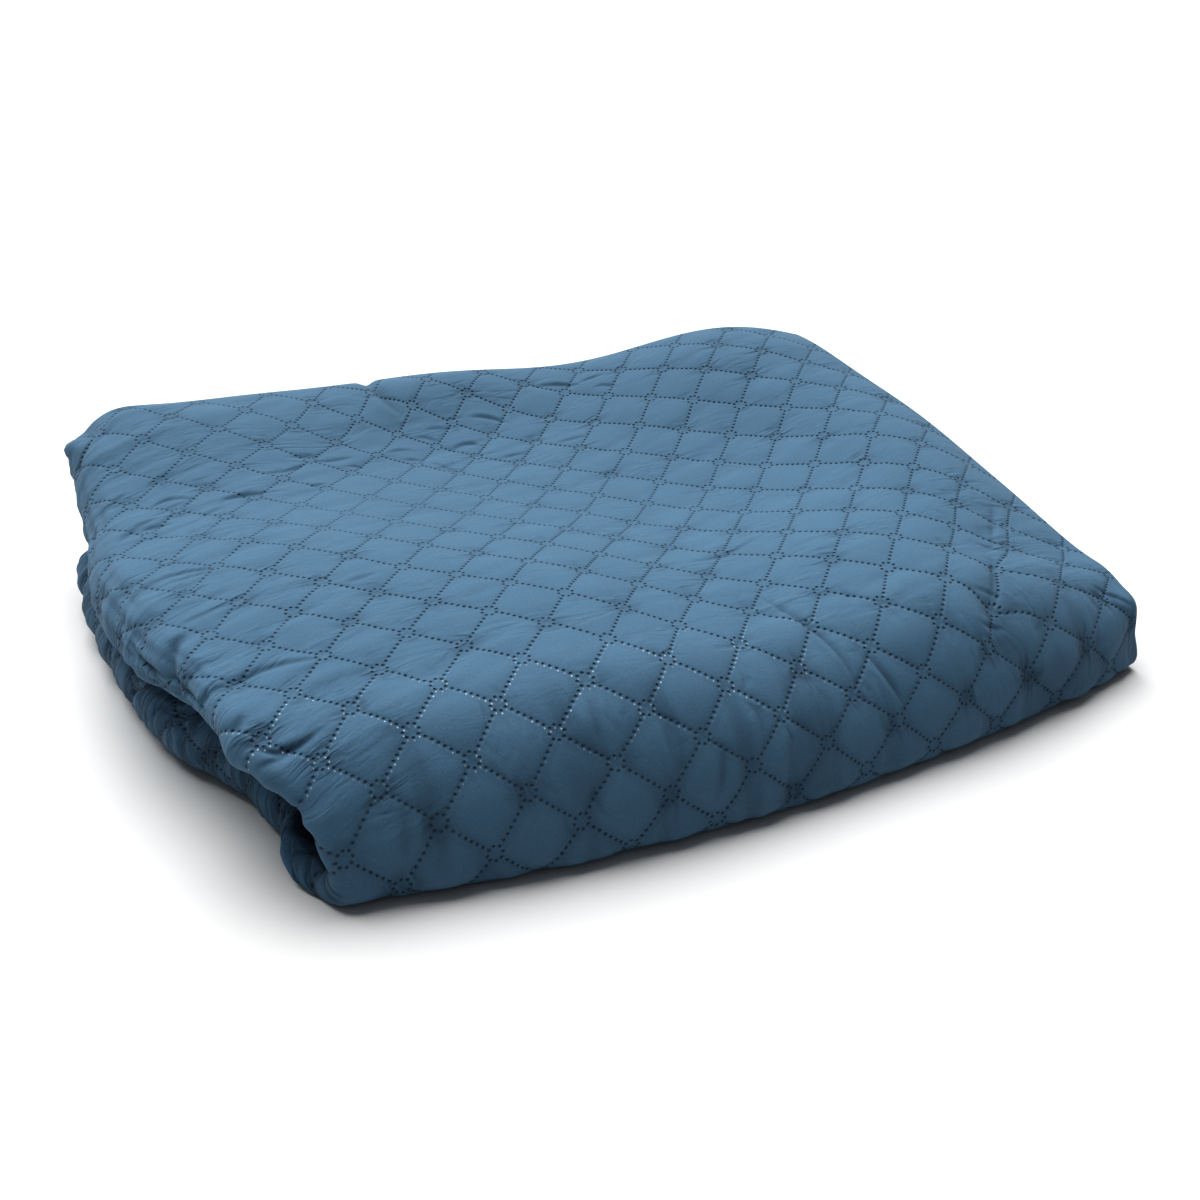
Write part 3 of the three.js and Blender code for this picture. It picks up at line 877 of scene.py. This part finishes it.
bulge = half * np.sqrt(np.clip(1 - side**2, 0, 1))
at_end = (np.abs(run - RIGHT_END) < TOUCH) | (np.abs(run - RUN_END) < TOUCH)
at_back = reach > back_reach(x) - TOUCH
at_foot = reach < end_reach(x) + TOUCH
folded_x = x + across * out + np.where(at_end, bulge, 0)
folded_reach = reach + np.where(at_back, bulge, 0) - np.where(at_foot, bulge, 0)
folded = stack_point(folded_x, way_at(folded_x, folded_reach), depth + inward * out)
folded[:, 2] = np.maximum(folded[:, 2], 0)
write_points(cloth.data, folded * MM)

bpy.ops.object.select_all(action="DESELECT")
cloth.select_set(True)
bpy.ops.object.shade_smooth()
triangles = sum(len(p.vertices) - 2 for p in cloth.data.polygons)
print("folded cloth:", triangles, "triangles, box", folded.min(0), folded.max(0))

# %% [markdown]
# The finish has to follow the cloth and not the room. So the flat cloth is kept in two UV maps, in diamonds:
# one with the slips of the pattern, and one that follows the fan at the left. Some values are painted on the
# points as well: where the cloth is slack, on the front, fanned or gathered, how much painted shade goes into
# its creases, wrinkle troughs and hollow, and where a painted glint lies on the lower lips of the weld dots.

# %% Paint what the finish reads
FLAT_MAP, FAN_MAP = "flat cloth", "fanned cloth"
FRONT_TROUGH_SHADE, RIM_TROUGH_SHADE = 0.35, 0.9
GLINT_LOSS = 0.85

corner_points = np.empty(len(cloth.data.loops), int)
cloth.data.loops.foreach_get("vertex_index", corner_points)


def lay_out(name, u, v):
    """A UV map that keeps a place on the flat cloth, in diamonds."""
    places = np.stack([u, v], axis=-1)[corner_points]
    made = cloth.data.uv_layers.new(name=name)
    made.uv.foreach_set("vector", places.astype(np.float32).ravel())


def paint(name, values):
    """A value at every point of the cloth."""
    made = cloth.data.attributes.new(name, "FLOAT", "POINT")
    made.data.foreach_set("value", values.astype(np.float32))


lay_out(FLAT_MAP, *slipped(length, reach))
lay_out(FAN_MAP, length / DIAMOND, fan_line(length, reach) / DIAMOND)

# Painted shade in the wrinkle troughs, added to that of the creases.
trough_shade = FRONT_TROUGH_SHADE * front_part(way) * wrinkles(length, reach, way)[1]
trough_shade += RIM_TROUGH_SHADE * rim_folds(round_rim, length, reach, way)[1]
on_bend = soft_step(way, -12, 13) * soft_step(way, 75, 40)
between_rims = soft_step(way, 30, 60) * soft_step(way, 160, 135)
paint("slack", slackness(length, reach))
paint("front", front_part(way))
paint("fan", fan_part(length, way))
# crease and hollow hold painted shade, and glint holds a painted highlight.
paint("crease", np.maximum(creases(length, reach)[1], trough_shade))
paint("gather", gather_part(round_rim, way))
paint("hollow", between_rims * soft_step(round_rim, 0.76, 0.98))
paint("glint", on_bend * (1 - GLINT_LOSS * soft_step(length, -40, 110)))
print("laid out on", [layer.name for layer in cloth.data.uv_layers])

# %% [markdown]
# The finish is a brushed blue cloth, made from nodes alone. Long sums of nodes are hard to read, so a small
# class wraps a socket and lets it stand in a plain expression, and one method adds any other node.

# %% Node sums
class Sum:
    """A socket of a node tree that can stand in an expression."""

    def __init__(self, tree, socket):
        self.tree = tree
        self.socket = socket

    def node(self, kind, settings=None, inputs=None, output=0):
        made = self.tree.nodes.new(kind)
        for name, value in (settings or {}).items():
            setattr(made, name, value)
        for name, value in (inputs or {}).items():
            if isinstance(value, Sum):
                self.tree.links.new(value.socket, made.inputs[name])
            else:
                made.inputs[name].default_value = value
        return Sum(self.tree, made.outputs[output])

    def math(self, operation, *others):
        values = [self, *others]
        return self.node("ShaderNodeMath", {"operation": operation}, dict(enumerate(values)))

    def __add__(self, other):
        return self.math("ADD", other)

    def __sub__(self, other):
        return self.math("SUBTRACT", other)

    def __rsub__(self, other):
        return self.math("MULTIPLY", -1) + other

    def __mul__(self, other):
        return self.math("MULTIPLY", other)

    def __truediv__(self, other):
        return self.math("DIVIDE", other)

    __radd__ = __add__
    __rmul__ = __mul__


def step_down(value, full, none):
    """1 up to full, 0 from none, and a soft fall between them."""
    settings = {"interpolation_type": "SMOOTHSTEP"}
    inputs = {"Value": value, "From Min": full, "From Max": none, "To Min": 1.0, "To Max": 0.0}
    return value.node("ShaderNodeMapRange", settings, inputs)


def blend(part, first, second):
    """A colour between two, by a mask."""
    inputs = {"Factor": part, 6: first, 7: second}
    return part.node("ShaderNodeMix", {"data_type": "RGBA"}, inputs, output=2)


print("node sums ready")

# %% [markdown]
# The welds are rows of small pits, painted dark for the melted fibre and for the shade inside them:
# six along each side of a diamond, and a ring of eight where two seams cross. They are read from the flat
# cloth, so they bend with it, and they close up where it is slack. On the front bend the lower lip of a pit
# catches the light, so the same dots, moved down, give a painted glint there.

# %% Weld dots
SEAM_SIDE = DIAMOND / math.sqrt(2)
RING = 3.9
DOT_GAPS = 7
DOT_STEP = (SEAM_SIDE - 2 * RING) / DOT_GAPS
PIT_FULL, PIT_NONE = 0.25, 1.15
DARK_FULL, DARK_NONE = 0.3, 0.92
WELD_FULL, WELD_NONE = 0.2, 2.4
SLACK_CLOSES = 0.55
GLINT_BELOW = 1.5
GLINT_FULL, GLINT_NONE = 0.15, 0.65

material = bpy.data.materials.new("brushed_quilted_cloth")
material.use_nodes = True
tree = material.node_tree


def cloth_place(map_name):
    """A place on the flat cloth, read from one of its UV maps."""
    reader = tree.nodes.new("ShaderNodeUVMap")
    reader.uv_map = map_name
    return Sum(tree, reader.outputs[0])


def painted(name):
    """A value that was painted on the points."""
    reader = tree.nodes.new("ShaderNodeAttribute")
    reader.attribute_name = name
    return Sum(tree, reader.outputs["Fac"])


def dots(u, v):
    """Distance in millimetres to the nearest weld dot, seam and crossing."""
    first = u - v
    second = u + v
    a = (first - first.math("ROUND")).math("ABSOLUTE") * SEAM_SIDE
    b = (second - second.math("ROUND")).math("ABSOLUTE") * SEAM_SIDE
    from_seam = a.math("MINIMUM", b)
    from_crossing = a.math("MAXIMUM", b)
    count = (from_crossing - RING) / DOT_STEP
    off_dot = (count - count.math("ROUND").math("MAXIMUM", 0.0)) * DOT_STEP
    seam_dot = (from_seam * from_seam + off_dot * off_dot).math("SQRT")
    slant = RING / math.sqrt(2)
    ring_dot = ((a - slant) * (a - slant) + (b - slant) * (b - slant)).math("SQRT")
    return seam_dot.math("MINIMUM", ring_dot), from_seam, from_crossing


place = cloth_place(FLAT_MAP)
u = place.node("ShaderNodeSeparateXYZ", inputs={"Vector": place})
v = Sum(tree, u.socket.node.outputs["Y"])
from_dot, from_seam, from_crossing = dots(u, v)
closed = 1 - painted("slack") * SLACK_CLOSES
pit = step_down(from_dot, PIT_FULL, PIT_NONE) * closed
# The pits are painted dark, partly as melted fibre and partly as shade.
dark = step_down(from_dot, DARK_FULL, DARK_NONE) * closed
weld = step_down(from_seam, WELD_FULL, WELD_NONE) * closed
from_lip = dots(u, v + GLINT_BELOW / DIAMOND)[0]
# A painted highlight: a glint on the lower lip of each pit on the front bend.
glint = step_down(from_lip, GLINT_FULL, GLINT_NONE) * painted("glint")
print("weld dots", round(DOT_STEP, 2), "mm apart")

# %% [markdown]
# Between the creases lies a net of wrinkles that are too thin for the mesh, so they are lines in the finish:
# across the top, down the front, fanned at the left and gathered on the lower roll. They are strongest round
# the crossings, where the welds pucker the cloth.

# %% Fine wrinkles
LINE_NONE = 0.18
PATCH_FULL, PATCH_NONE = 0.42, 0.62
FINE_TOP, FINE_FRONT, FINE_FAN = 0.26, 0.4, 0.36
FINER_FAN = 0.6
PUCKER_FULL, PUCKER_NONE = 4, 13
PUCKER_MORE = 1.5


def folds(map_name, turn, scale, seed):
    """Thin wavering lines: where a stretched noise passes its middle value."""
    place = cloth_place(map_name)
    stretch = {"Vector": place, "Rotation": (0, 0, turn), "Scale": scale, "Location": (seed, seed, 0)}
    place = place.node("ShaderNodeMapping", inputs=stretch)
    wavering = {"Vector": place, "Scale": 1.0, "Detail": 2, "Distortion": 0.5}
    lines = place.node("ShaderNodeTexNoise", inputs=wavering)
    patches = place.node("ShaderNodeTexNoise", inputs={"Vector": place, "Scale": 0.4, "Detail": 1})
    off_line = (lines - 0.5).math("ABSOLUTE")
    return step_down(off_line, 0.0, LINE_NONE) * (1 - step_down(patches, PATCH_FULL, PATCH_NONE))


across_top = folds(FLAT_MAP, -WRINKLE_TILT, (1.6, 5.0, 1), 3)
down_front = folds(FLAT_MAP, 0, (4.0, 1.2, 1), 7)
fanned_left = folds(FAN_MAP, 0, (1.3, 4.6, 1), 11)
fanned_left = fanned_left + folds(FAN_MAP, 0.1, (1.9, 8.5, 1), 29) * FINER_FAN
gathered = folds(FLAT_MAP, 0.08, (0.7, 8.0, 1), 17)
gathered = gathered.math("MAXIMUM", folds(FLAT_MAP, -0.06, (0.9, 11.0, 1), 23)) * painted("gather")

front = painted("front")
fan = painted("fan")
pucker = step_down(from_crossing, PUCKER_FULL, PUCKER_NONE) * closed
fine = across_top * FINE_TOP * (1 - front) + down_front * FINE_FRONT * front
fine = fine * (1 - fan) + fanned_left * fan * FINE_FAN
fine = fine * (1 + pucker * PUCKER_MORE)
print("fine wrinkles in", len(tree.nodes), "nodes")

# %% [markdown]
# The cloth is brushed, so its colour drifts a little, its nap is a fine grain, and it hardly shines. Shade
# is painted into its colour where little light gets in: in the creases, the hollow and the gathers, along
# the seams and round the crossings. The pits are painted dark, partly as shade, and the glints below them
# light. What is thinner than the mesh becomes a height for the bump: the nap, the pits, the welds and the
# fine wrinkles.

# %% Colour, nap and painted shade
CLOTH_LIGHT = (0.097, 0.189, 0.277, 1)
CLOTH_DARK = (0.072, 0.148, 0.226, 1)
# The pit colour also serves as the colour of all painted shade; the glint colour is a painted highlight.
PIT_AND_SHADE_COLOUR = (0.010, 0.022, 0.042, 1)
GLINT_COLOUR = (0.55, 0.68, 0.78, 1)
DRIFT_PART, NAP_PART, GRAIN_LEVEL = 0.7, 1.4, 0.55
SPARKLE_FROM, SPARKLE_FULL = 0.4, 0.68
CREASE_SHADE, HOLLOW_SHADE, GATHER_SHADE = 0.52, 0.75, 0.55
SEAM_SHADE, SEAM_SHADE_FRONT, SEAM_SHADE_WIDE = 0.04, 0.1, 6.5
PUCKER_SHADE = 0.3
DOT_SHADE, DOT_PALER_FRONT = 0.85, 0.17
GLINT_PART = 0.75
ROUGH, NAP_ROUGH, GLINT_SMOOTH = 0.82, 0.15, 0.4
NAP_HIGH, PIT_DEEP, WELD_DEEP, GATHER_DEEP = 0.14, 0.9, 0.2, 1.1

room_place = Sum(tree, tree.nodes.new("ShaderNodeTexCoord").outputs["Object"])


def grained(scale, detail):
    """Unevenness that runs on over the folds."""
    inputs = {"Vector": room_place, "Scale": scale, "Detail": detail}
    return room_place.node("ShaderNodeTexNoise", inputs=inputs)


drift = grained(28, 3)
nap = grained(900, 2)
sparkle = 1 - step_down(grained(170, 1), SPARKLE_FROM, SPARKLE_FULL)
grain = drift * DRIFT_PART + nap * NAP_PART - GRAIN_LEVEL
base = blend(grain.math("MINIMUM", 1.0).math("MAXIMUM", 0.0), CLOTH_DARK, CLOTH_LIGHT)

# Painted shade: in the creases, the hollow, beside the seams, round the crossings and in the gathers.
shaded = (painted("crease") * CREASE_SHADE).math("MAXIMUM", painted("hollow") * HOLLOW_SHADE)
beside_seam = step_down(from_seam, 0.0, SEAM_SHADE_WIDE) * closed
shaded = shaded + beside_seam * (SEAM_SHADE + front * SEAM_SHADE_FRONT)
shaded = shaded + fine * pucker * PUCKER_SHADE
shaded = shaded.math("MAXIMUM", gathered * GATHER_SHADE)
shaded_colour = blend(shaded.math("MINIMUM", 1.0), base, PIT_AND_SHADE_COLOUR)
# Painted shade in the weld pits, partly their melted fibre, and a painted glint below them.
dotted = blend(dark * (DOT_SHADE - front * DOT_PALER_FRONT), shaded_colour, PIT_AND_SHADE_COLOUR)
colour = blend(glint * sparkle * GLINT_PART, dotted, GLINT_COLOUR)
rough = ROUGH + nap * NAP_ROUGH - glint * GLINT_SMOOTH
height = nap * NAP_HIGH - pit * PIT_DEEP - weld * WELD_DEEP - fine - gathered * GATHER_DEEP
bump = height.node("ShaderNodeBump", inputs={"Height": height, "Strength": 1.0, "Distance": MM})

shader = tree.nodes["Principled BSDF"]
shader.inputs["Sheen Weight"].default_value = 0.05
shader.inputs["Sheen Roughness"].default_value = 0.5
shader.inputs["Specular IOR Level"].default_value = 0.4
tree.links.new(colour.socket, shader.inputs["Base Color"])
tree.links.new(rough.socket, shader.inputs["Roughness"])
tree.links.new(bump.socket, shader.inputs["Normal"])
cloth.data.materials.clear()
cloth.data.materials.append(material)
print("material", material.name, "with", len(tree.nodes), "nodes")

# %% [markdown]
# A pale floor and soft light. The light comes from above and behind, as it does from a window or in a photo
# tent, so the top is bright, the front bend falls into shade, and every pit and crease shows a dark side and
# a lit lip.

# %% Floor and lights
FLOOR_SIZE = 40
bpy.ops.object.select_all(action="DESELECT")
bpy.ops.mesh.primitive_plane_add(size=FLOOR_SIZE)
floor = bpy.context.object
floor.name = "floor"
paper = bpy.data.materials.new("pale_floor")
paper.use_nodes = True
paper.node_tree.nodes["Principled BSDF"].inputs["Base Color"].default_value = (0.72, 0.72, 0.72, 1)
paper.node_tree.nodes["Principled BSDF"].inputs["Roughness"].default_value = 0.9
floor.data.materials.append(paper)

WINDOW_POWER = 3.7
WINDOW_SPREAD = 66
WINDOW_TURN = 6
WINDOW_HEIGHT = 61
ROOM_LIGHT = 0.145

lamp = bpy.data.lights.new("window", "SUN")
lamp.energy = WINDOW_POWER
lamp.angle = math.radians(WINDOW_SPREAD)
window = bpy.data.objects.new("window", lamp)
window.rotation_euler = (math.radians(WINDOW_HEIGHT - 90), 0, math.radians(-WINDOW_TURN))
bpy.context.scene.collection.objects.link(window)

room = bpy.data.worlds.new("soft room")
room.use_nodes = True
room.node_tree.nodes["Background"].inputs["Color"].default_value = (1, 1, 1, 1)
room.node_tree.nodes["Background"].inputs["Strength"].default_value = ROOM_LIGHT
bpy.context.scene.world = room
bpy.context.scene.view_settings.view_transform = "Standard"
bpy.context.scene.view_settings.look = "High Contrast"
print("a soft window behind, and a dim room")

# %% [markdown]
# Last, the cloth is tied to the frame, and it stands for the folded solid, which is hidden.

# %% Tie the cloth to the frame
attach(cloth, "root")
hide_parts(SOLID)
